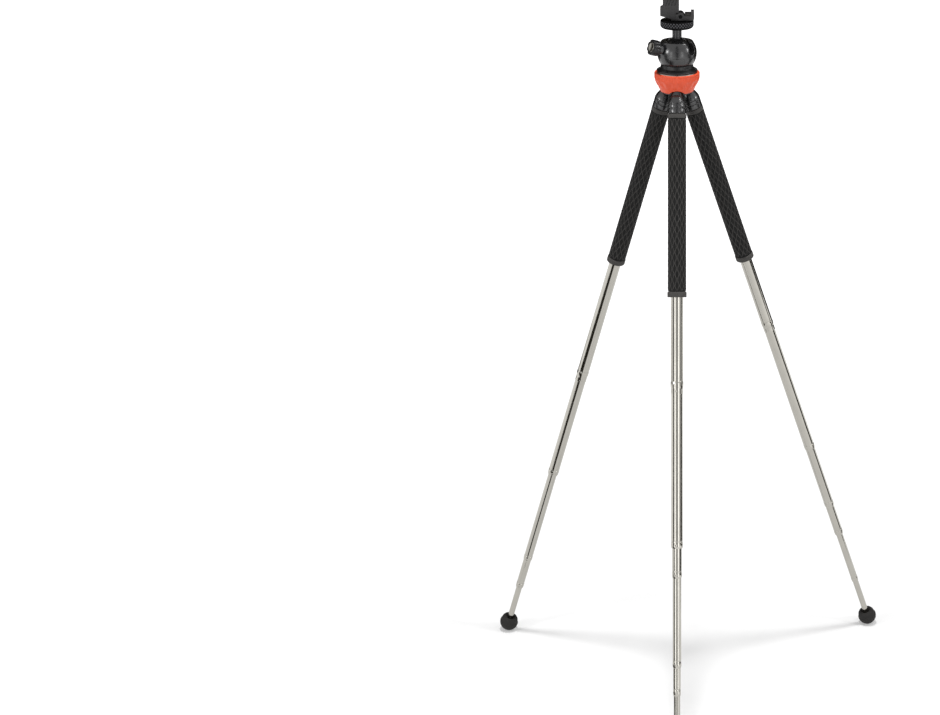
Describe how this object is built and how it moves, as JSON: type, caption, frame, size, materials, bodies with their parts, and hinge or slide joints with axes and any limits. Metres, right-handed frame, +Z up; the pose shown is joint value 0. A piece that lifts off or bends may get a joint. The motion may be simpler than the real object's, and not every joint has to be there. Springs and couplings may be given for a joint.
{
  "type": "travel tripod",
  "caption": "Small travel tripod: telescopic steel legs with rubber grips and feet, an orange hub, a ball head with a lock knob, and a slim spring clamp for a phone.",
  "frame": {"origin": "on the floor, in the middle of the bounding box of the standing tripod", "axes": "+Z up along the hub's axis, -Y towards the front leg, +X towards the phone's side of the clamp"},
  "size_m": [0.3378, 0.302, 0.6433],
  "materials": {
    "orange_plastic": "satin moulded plastic",
    "black_plastic": "fine matt moulded plastic",
    "gloss_black": "glossy black",
    "black_metal": "black anodised",
    "black_rubber": "matt rubber",
    "polished_steel": "polished stainless steel",
    "plain_steel": "plain turned steel",
    "bright_metal": "bright metal",
    "nylon": "natural nylon"
  },
  "bodies": {
    "hub": {"hub_shell": "orange_plastic", "hub_core": "black_plastic", "leg_pins": "plain_steel", "pan_washer": "bright_metal"},
    "head": {"base_flange": "gloss_black", "ball_housing": "gloss_black", "ball_seat": "nylon", "brake_shoe": "nylon", "centre_bolt": "plain_steel"},
    "knob": {"lock_knob": "gloss_black", "knob_cap": "bright_metal", "lock_screw": "plain_steel"},
    "ball": {"ball": "black_metal", "stem": "black_metal"},
    "disc": {"knurled_disc": "black_metal"},
    "clamp_base": {"clamp_base": "black_plastic", "clamp_pins": "black_metal"},
    "clamp": {"clamp_column": "black_plastic", "lower_jaw": "black_plastic", "lower_pad": "black_rubber", "jaw_spring": "plain_steel"},
    "upper_jaw": {"upper_jaw": "black_plastic", "upper_pad": "black_rubber"},
    "front_leg": {"front_leg_cap": "gloss_black", "front_leg_sleeve": "polished_steel", "front_leg_grip": "black_rubber"},
    "front_tube_1": {"front_leg_tube_1": "polished_steel"},
    "front_tube_2": {"front_leg_tube_2": "polished_steel"},
    "front_tube_3": {"front_leg_tube_3": "polished_steel"},
    "front_tube_4": {"front_leg_tube_4": "polished_steel"},
    "front_tube_5": {"front_leg_tube_5": "polished_steel"},
    "front_tube_6": {"front_leg_tube_6": "polished_steel"},
    "front_tube_7": {"front_leg_tube_7": "polished_steel", "front_leg_foot": "black_rubber"},
    "left_leg": {"left_leg_cap": "gloss_black", "left_leg_sleeve": "polished_steel", "left_leg_grip": "black_rubber"},
    "left_tube_1": {"left_leg_tube_1": "polished_steel"},
    "left_tube_2": {"left_leg_tube_2": "polished_steel"},
    "left_tube_3": {"left_leg_tube_3": "polished_steel"},
    "left_tube_4": {"left_leg_tube_4": "polished_steel"},
    "left_tube_5": {"left_leg_tube_5": "polished_steel"},
    "left_tube_6": {"left_leg_tube_6": "polished_steel"},
    "left_tube_7": {"left_leg_tube_7": "polished_steel", "left_leg_foot": "black_rubber"},
    "right_leg": {"right_leg_cap": "gloss_black", "right_leg_sleeve": "polished_steel", "right_leg_grip": "black_rubber"},
    "right_tube_1": {"right_leg_tube_1": "polished_steel"},
    "right_tube_2": {"right_leg_tube_2": "polished_steel"},
    "right_tube_3": {"right_leg_tube_3": "polished_steel"},
    "right_tube_4": {"right_leg_tube_4": "polished_steel"},
    "right_tube_5": {"right_leg_tube_5": "polished_steel"},
    "right_tube_6": {"right_leg_tube_6": "polished_steel"},
    "right_tube_7": {"right_leg_tube_7": "polished_steel", "right_leg_foot": "black_rubber"}
  },
  "joints": [
    {"name": "head_pan", "type": "hinge", "parent": "hub", "child": "head", "pos_m": [-0.01042, 0.04408, 0.5323], "axis": [0, 0, 1], "continuous": true},
    {"name": "ball_tilt", "type": "hinge", "parent": "head", "child": "ball", "pos_m": [-0.01042, 0.04408, 0.5474], "axis": [0.6293, 0.7771, 0], "range_deg": [-22, 72]},
    {"name": "lock_knob_turn", "type": "hinge", "parent": "head", "child": "knob", "pos_m": [-0.01042, 0.04408, 0.5474], "axis": [-0.8304, -0.4794, 0.284], "range_deg": [0, 270]},
    {"name": "lock_disc_turn", "type": "hinge", "parent": "ball", "child": "disc", "pos_m": [-0.01042, 0.04408, 0.567], "axis": [0, 0, 1], "range_deg": [-360, 0]},
    {"name": "clamp_turn", "type": "hinge", "parent": "ball", "child": "clamp_base", "pos_m": [-0.01042, 0.04408, 0.5728], "axis": [0, 0, 1], "continuous": true},
    {"name": "clamp_tilt", "type": "hinge", "parent": "clamp_base", "child": "clamp", "pos_m": [-0.00782, 0.04408, 0.5762], "axis": [0, -1, 0], "range_deg": [0, 13]},
    {"name": "jaw_slide", "type": "slide", "parent": "clamp", "child": "upper_jaw", "axis": [0, 0, 1], "range_m": [0, 0.03], "stiffness_N_per_m": 200, "springref_m": -0.01, "deforming": ["jaw_spring"]},
    {"name": "front_leg_spread", "type": "hinge", "parent": "hub", "child": "front_leg", "pos_m": [-0.01042, 0.03528, 0.5186], "axis": [-1, 0, 0], "range_deg": [-18.99, 5.75]},
    {"name": "front_draw_1", "type": "slide", "parent": "front_leg", "child": "front_tube_1", "axis": [0, -0.3297, -0.9441], "range_m": [-0.07512, 0.04988]},
    {"name": "front_draw_2", "type": "slide", "parent": "front_tube_1", "child": "front_tube_2", "axis": [0, -0.3297, -0.9441], "range_m": [-0.11988, 0.00513]},
    {"name": "front_draw_3", "type": "slide", "parent": "front_tube_2", "child": "front_tube_3", "axis": [0, -0.3297, -0.9441], "range_m": [0, 0.125]},
    {"name": "front_draw_4", "type": "slide", "parent": "front_tube_3", "child": "front_tube_4", "axis": [0, -0.3297, -0.9441], "range_m": [-0.02337, 0.10163]},
    {"name": "front_draw_5", "type": "slide", "parent": "front_tube_4", "child": "front_tube_5", "axis": [0, -0.3297, -0.9441], "range_m": [-0.07038, 0.05462]},
    {"name": "front_draw_6", "type": "slide", "parent": "front_tube_5", "child": "front_tube_6", "axis": [0, -0.3297, -0.9441], "range_m": [-0.02188, 0.10313]},
    {"name": "front_draw_7", "type": "slide", "parent": "front_tube_6", "child": "front_tube_7", "axis": [0, -0.3297, -0.9441], "range_m": [-0.06501, 0.05999]},
    {"name": "left_leg_spread", "type": "hinge", "parent": "hub", "child": "left_leg", "pos_m": [-0.01804, 0.04849, 0.5186], "axis": [0.5, 0.866, 0], "range_deg": [-17.65, 7.09]},
    {"name": "left_draw_1", "type": "slide", "parent": "left_leg", "child": "left_tube_1", "axis": [-0.2663, 0.1538, -0.9515], "range_m": [-0.11625, 0.00875]},
    {"name": "left_draw_2", "type": "slide", "parent": "left_tube_1", "child": "left_tube_2", "axis": [-0.2663, 0.1538, -0.9515], "range_m": [-0.09763, 0.02738]},
    {"name": "left_draw_3", "type": "slide", "parent": "left_tube_2", "child": "left_tube_3", "axis": [-0.2663, 0.1538, -0.9515], "range_m": [0, 0.125]},
    {"name": "left_draw_4", "type": "slide", "parent": "left_tube_3", "child": "left_tube_4", "axis": [-0.2663, 0.1538, -0.9515], "range_m": [-0.09388, 0.03112]},
    {"name": "left_draw_5", "type": "slide", "parent": "left_tube_4", "child": "left_tube_5", "axis": [-0.2663, 0.1538, -0.9515], "range_m": [-0.03037, 0.09463]},
    {"name": "left_draw_6", "type": "slide", "parent": "left_tube_5", "child": "left_tube_6", "axis": [-0.2663, 0.1538, -0.9515], "range_m": [0, 0.125]},
    {"name": "left_draw_7", "type": "slide", "parent": "left_tube_6", "child": "left_tube_7", "axis": [-0.2663, 0.1538, -0.9515], "range_m": [-0.03328, 0.09172]},
    {"name": "right_leg_spread", "type": "hinge", "parent": "hub", "child": "right_leg", "pos_m": [-0.0028, 0.04849, 0.5186], "axis": [0.5, -0.866, 0], "range_deg": [-20.06, 4.68]},
    {"name": "right_draw_1", "type": "slide", "parent": "right_leg", "child": "right_tube_1", "axis": [0.3007, 0.1736, -0.9378], "range_m": [-0.07163, 0.05337]},
    {"name": "right_draw_2", "type": "slide", "parent": "right_tube_1", "child": "right_tube_2", "axis": [0.3007, 0.1736, -0.9378], "range_m": [-0.12425, 0.00075]},
    {"name": "right_draw_3", "type": "slide", "parent": "right_tube_2", "child": "right_tube_3", "axis": [0.3007, 0.1736, -0.9378], "range_m": [-0.063, 0.062]},
    {"name": "right_draw_4", "type": "slide", "parent": "right_tube_3", "child": "right_tube_4", "axis": [0.3007, 0.1736, -0.9378], "range_m": [-0.03175, 0.09325]},
    {"name": "right_draw_5", "type": "slide", "parent": "right_tube_4", "child": "right_tube_5", "axis": [0.3007, 0.1736, -0.9378], "range_m": [0, 0.125]},
    {"name": "right_draw_6", "type": "slide", "parent": "right_tube_5", "child": "right_tube_6", "axis": [0.3007, 0.1736, -0.9378], "range_m": [-0.0545, 0.0705]},
    {"name": "right_draw_7", "type": "slide", "parent": "right_tube_6", "child": "right_tube_7", "axis": [0.3007, 0.1736, -0.9378], "range_m": [-0.03416, 0.09084]}
  ]
}
